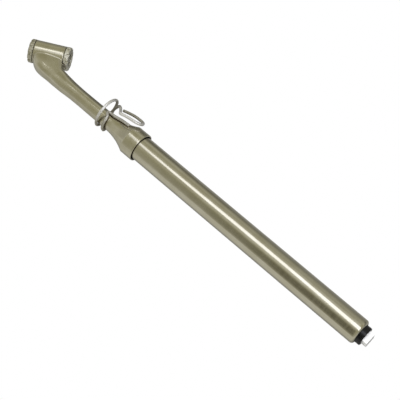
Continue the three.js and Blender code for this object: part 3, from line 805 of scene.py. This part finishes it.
# Strokes of the digits on a grid 2 wide and 4 high, as point lists, and their size on the bar.
DIGIT = dict(width=0.42, height=0.6, advance=1.15, inset=0.15, base=0.35, stroke=0.22)
STROKES = {"0": [(0, 0), (2, 0), (2, 4), (0, 4), (0, 0)],
           "1": [(0.4, 3.2), (1.2, 4), (1.2, 0)],
           "2": [(0, 4), (2, 4), (2, 2.2), (0, 1.6), (0, 0), (2, 0)],
           "4": [(1.5, 0), (1.5, 4), (0, 1.3), (2, 1.3)],
           "6": [(2, 4), (0, 4), (0, 0), (2, 0), (2, 2.2), (0, 2.2)],
           "8": [(0, 2.1), (0, 4), (2, 4), (2, 0), (0, 0), (0, 2.1), (2, 2.1)]}


def mark(start, end, width):
    """A thin raised stroke between two points of a face, as a low box."""
    a, b = np.array(start, float), np.array(end, float)
    d = (b - a) / np.linalg.norm(b - a)
    n = np.array([-d[1], d[0]]) * width / 2
    a, b = a - d * width / 2, b + d * width / 2
    flat = [a + n, b + n, b - n, a - n]
    verts = [(*p, 0.0) for p in flat] + [(*p, 0.02) for p in flat]
    faces = [(0, 1, 2, 3), (7, 6, 5, 4)] + [(i, i + 4, (i + 1) % 4 + 4, (i + 1) % 4) for i in range(4)]
    return np.array(verts), faces


def bar_marks():
    """Tick lines and numbers, read at the bushing's end, on the bar's top and near faces."""
    parts = []
    for value in range(SCALE["first"], SCALE["last"] + 1, SCALE["step"]):
        x = BUSHING["end"] - SCALE["travel"] * value / SCALE["last"]
        numbered, ten = value % 20 == 0, value % 10 == 0
        top = -0.6 if numbered else -1.2 if ten else -2.0
        parts.append(mark((x, -3.0), (x, top), 0.28 if ten else 0.18))
        if not numbered:
            continue
        text = str(value)
        for i, digit in enumerate(text):
            left = x + (i - len(text) / 2) * DIGIT["advance"] + DIGIT["inset"]
            points = [(left + p * DIGIT["width"], DIGIT["base"] + q * DIGIT["height"])
                      for p, q in STROKES[digit]]
            parts += [mark(a, b, DIGIT["stroke"]) for a, b in zip(points, points[1:])]
    verts, faces = join(*parts)
    y, z = verts[:, 1], verts[:, 2] + BAR["side"] / 2 - 0.004
    both = []
    for turn in (BAR["roll"], BAR["roll"] + math.pi / 2):
        c, s = math.cos(turn), math.sin(turn)
        both.append((np.stack([verts[:, 0], y * c - z * s, y * s + z * c], 1), faces))
    return join(*both)


verts, faces = bar_marks()
piece("indicator_marks", verts, faces, "indicator", INK, smooth=False)


# --------------------------------------------------------------- inner pieces
FINISH = {"seal_rubber": RUBBER, "inner_brass": BRASS, "inner_steel": STEEL}
for part in frame["record"]["subparts"]:
    node = frame["nodes"][part["node"]]
    if part["material_slot"] in FINISH and not node.hide_render:
        node.data.materials.clear()
        node.data.materials.append(FINISH[part["material_slot"]])


# ---------------------------------------------------------------------- stage
# Light levels of the room: [degrees from straight up towards the far side, level, warmth].
TIP_SIDE = [(-180, 0.45, 0.1), (-98, 0.50, 0.2), (-84, 0.22, 0.4), (-72, 0.05, 0.7), (-44, 0.04, 0.65),
            (-34, 0.15, 0.4), (-25, 0.42, 0.2), (-18, 0.66, 0.15), (-8, 0.74, 0.1), (20, 0.68, 0.1),
            (30, 0.62, 0.15), (44, 0.38, 0.25), (76, 0.33, 0.25), (92, 0.26, 0.2), (180, 0.30, 0.1)]
HEAD_SIDE = [(-180, 0.45, 0.1), (-98, 0.50, 0.2), (-72, 0.40, 0.3), (-34, 0.38, 0.4), (-14, 0.43, 0.32),
             (-4, 0.47, 0.3), (14, 0.46, 0.3), (26, 0.40, 0.37), (36, 0.35, 0.42), (58, 0.49, 0.25),
             (76, 0.22, 0.3), (94, 0.09, 0.25), (180, 0.30, 0.1)]
END_SIDE = [(-180, 0.45, 0.1), (-98, 0.52, 0.2), (-60, 0.52, 0.2), (-15, 0.52, 0.2), (10, 0.42, 0.35),
            (36, 0.36, 0.42), (52, 0.40, 0.4), (67, 0.405, 0.35), (77, 0.36, 0.3), (90, 0.30, 0.27),
            (110, 0.30, 0.25), (180, 0.28, 0.2)]
# Where those take over from each other: the direction's X at which each starts and is full. Straight along
# the barrel the room is one grey.
ROOM = dict(head=(-0.13, -0.36), shoulder=(-0.10, -0.02), end=(-0.48, -0.62), along=(0.7, 0.97))
ROOM_GREY = (0.42, 0.41, 0.35)
# The floor's glow, darker in bands of painted shadow under and behind the gauge, beside the barrel, beside
# the head and past it: [metres towards the far side, level, warmth].
FLOOR_BARREL = [(-0.06, 0.58, 0.14), (-0.0265, 0.58, 0.14), (-0.0215, 0.43, 0.1), (-0.017, 0.33, 0.1),
                (-0.0135, 0.26, 0.1), (-0.009, 0.12, 0.1), (-0.003, 0.15, 0.1), (0.002, 0.46, 0.05),
                (0.009, 0.42, 0.05), (0.023, 0.33, 0.1), (0.06, 0.27, 0.1)]
FLOOR_HEAD = [(-0.06, 0.50, 0.14), (-0.02, 0.46, 0.14), (-0.013, 0.38, 0.1), (-0.006, 0.30, 0.1),
              (0.002, 0.26, 0.1), (0.012, 0.21, 0.15), (0.022, 0.16, 0.15), (0.032, 0.12, 0.15),
              (0.06, 0.10, 0.2)]
FLOOR_END = [(-0.06, 0.56, 0.14), (-0.02, 0.54, 0.14), (-0.013, 0.40, 0.1), (-0.006, 0.30, 0.1),
             (0.002, 0.26, 0.1), (0.012, 0.25, 0.15), (0.06, 0.28, 0.2)]
FLOOR = dict(half=3, z=-0.0004, head=(-0.04, -0.09), end=(-0.128, -0.138))      # in metres
# The lamps: outline [x, y] and height in metres, [x, level, warmth], strength.
OVERHEAD = dict(height=0.30, strength=1.85,
                outline=[(-0.165, -0.004), (-0.147, -0.036), (-0.11, -0.045), (-0.02, -0.030),
                         (0.02, -0.025), (0.045, -0.028), (0.065, -0.040), (0.09, -0.074), (0.45, -0.097),
                         (0.45, 0.09), (0.09, 0.068), (-0.02, 0.104), (-0.14, 0.026), (-0.165, 0.032)],
                fade=[(-0.165, 0.42, 0), (-0.148, 0.56, -0.05), (-0.13, 0.84, -0.06), (-0.02, 0.86, -0.08),
                      (0.09, 0.92, -0.10)])
BESIDE = dict(height=0.60, strength=1.75,
              outline=[(-0.252, -0.013), (-0.208, 0.014), (-0.302, 0.161), (-0.347, 0.131)],
              fade=[(-0.38, 0.9, -0.02), (-0.30, 1.0, -0.02), (-0.20, 1.0, -0.02)])
WHITE_LIGHT = (1.0, 1.0, 1.0)
CAMERA = dict(azimuth=-47.644 * DEG, height=63.853 * DEG, roll=0.775 * DEG, distance=625.193,
              target=(50.215, -1.007, 0.0), lens=94.5)


def lamp_ramp(tree, value, stops, low, high):
    """A row of light levels with their tints along `value`, from low to high."""
    node = tree.nodes.new("ShaderNodeValToRGB")
    ramp = node.color_ramp
    while len(ramp.elements) < len(stops):
        ramp.elements.new(0.5)
    for element, (at, level, warmth) in zip(ramp.elements, stops):
        green = 1 - 0.11 * warmth - 0.5 * max(warmth - 0.5, 0)
        blue = 1 - 0.85 * warmth
        element.position = (at - low) / (high - low)
        element.color = (level, level * green, level * blue, 1)
    share = math_node(tree, "DIVIDE", math_node(tree, "SUBTRACT", value, low), high - low)
    tree.links.new(share, node.inputs["Fac"])
    return node.outputs["Color"]


def choose(tree, factor, one, two):
    """One shader where the factor is 0, the other where it is 1."""
    node = tree.nodes.new("ShaderNodeMixShader")
    tree.links.new(factor, node.inputs["Fac"])
    tree.links.new(one, node.inputs[1])
    tree.links.new(two, node.inputs[2])
    return node.outputs[0]


def glow(tree, color, strength, kind="ShaderNodeEmission"):
    """A light shader; its colour and its strength are sockets or values."""
    node = tree.nodes.new(kind)
    for name, value in (("Color", color), ("Strength", strength)):
        if isinstance(value, (int, float)):
            node.inputs[name].default_value = value
        elif isinstance(value, tuple):
            node.inputs[name].default_value = (*value, 1)
        else:
            tree.links.new(value, node.inputs[name])
    return node.outputs[0]


def sheet(name, corners):
    """Makes a flat piece of the stage; gives it, its node tree and the socket for its shader."""
    mesh = bpy.data.meshes.new(name)
    mesh.from_pydata(corners, [], [tuple(range(len(corners)))])
    obj = bpy.data.objects.new(name, mesh)
    bpy.context.scene.collection.objects.link(obj)
    m = bpy.data.materials.new(name)
    m.use_nodes = True
    m.node_tree.nodes.clear()
    mesh.materials.append(m)
    out = m.node_tree.nodes.new("ShaderNodeOutputMaterial")
    return obj, m.node_tree, out.inputs["Surface"]


def floor():
    """Pale paper lit by its own glow, with painted shadow in grey bands under and behind the gauge as they
    show in the metal; white to the camera.
    """
    half, z = FLOOR["half"], FLOOR["z"]
    signs = ((-1, -1), (1, -1), (1, 1), (-1, 1))
    _, t, surface_in = sheet("floor", [(a * half, b * half, z) for a, b in signs])
    x, y, _ = place(t)
    levels = (FLOOR_BARREL, FLOOR_HEAD, FLOOR_END)
    barrel, head, end = (lamp_ramp(t, y, stops, -0.06, 0.06) for stops in levels)
    level = blend(t, spread(t, x, 0, 1, *FLOOR["head"]), barrel, head)
    level = blend(t, spread(t, x, 0, 1, *FLOOR["end"]), level, end)
    ray = t.nodes.new("ShaderNodeLightPath")
    white = glow(t, WHITE_LIGHT, 1.0)
    t.links.new(choose(t, ray.outputs["Is Camera Ray"], glow(t, level, 1.0), white), surface_in)


def lamp(name, height, strength, outline, fade):
    """A soft box that the camera doesn't see, with its brightness changing along X."""
    obj, t, surface_in = sheet(name, [(x, y, height) for x, y in outline])
    obj.visible_camera = False
    level = lamp_ramp(t, place(t)[0], fade, -0.4, 0.15)
    t.links.new(glow(t, level, strength), surface_in)


def sky():
    """The studio as metal sees it round a line along X: dark on the camera's side, mid grey behind."""
    world = bpy.data.worlds.new("studio")
    bpy.context.scene.world = world
    world.use_nodes = True
    t = world.node_tree
    t.nodes.clear()
    x, y, z = split(t, t.nodes.new("ShaderNodeTexCoord").outputs["Generated"])
    turn = math_node(t, "MULTIPLY", math_node(t, "ARCTAN2", y, z), 1 / DEG)
    tip, head, end = (lamp_ramp(t, turn, stops, -180, 180) for stops in (TIP_SIDE, HEAD_SIDE, END_SIDE))
    zones = [spread(t, x, 0, 1, *ROOM[zone]) for zone in ("head", "shoulder", "end")]
    color = blend(t, math_node(t, "MAXIMUM", *zones[:2]), tip, head)
    color = blend(t, zones[2], color, end)
    lengthwise = spread(t, math_node(t, "ABSOLUTE", x), 0, 1, *ROOM["along"])
    lengthwise.node.interpolation_type = "SMOOTHSTEP"
    color = blend(t, lengthwise, color, ROOM_GREY)

    grey = t.nodes.new("ShaderNodeRGBToBW")
    t.links.new(color, grey.inputs["Color"])
    kind = "ShaderNodeBackground"
    room = glow(t, color, 1.0, kind)
    white = glow(t, WHITE_LIGHT, 1.0, kind)
    soft = glow(t, WHITE_LIGHT, math_node(t, "MULTIPLY", grey.outputs["Val"], 3.0), kind)
    ray = t.nodes.new("ShaderNodeLightPath")
    out = t.nodes.new("ShaderNodeOutputWorld")
    lit = choose(t, ray.outputs["Is Glossy Ray"], soft, room)
    t.links.new(choose(t, ray.outputs["Is Camera Ray"], lit, white), out.inputs["Surface"])


def camera():
    """The photo's view, fitted to the outlines: long lens, from above and in front."""
    azimuth, height, roll = CAMERA["azimuth"], CAMERA["height"], CAMERA["roll"]
    flat = math.cos(height)
    back = np.array([flat * math.cos(azimuth), flat * math.sin(azimuth), math.sin(height)])
    right = np.cross([0, 0, 1.0], back)
    right /= np.linalg.norm(right)
    up = np.cross(back, right)
    r = right * math.cos(roll) + up * math.sin(roll)
    u = -right * math.sin(roll) + up * math.cos(roll)
    at = (np.array(CAMERA["target"]) + back * CAMERA["distance"] + SHIFT) * MM
    data = bpy.data.cameras.new("camera")
    data.lens = CAMERA["lens"]
    data.sensor_width = 36
    data.clip_start, data.clip_end = 0.05, 20
    cam = bpy.data.objects.new("camera", data)
    bpy.context.scene.collection.objects.link(cam)
    cam.matrix_world = Matrix([(r[i], u[i], back[i], at[i]) for i in range(3)] + [(0, 0, 0, 1)])
    bpy.context.scene.camera = cam


floor()
sky()
lamp("overhead", **OVERHEAD)
lamp("beside", **BESIDE)
camera()
bpy.context.scene.view_settings.view_transform = "Standard"
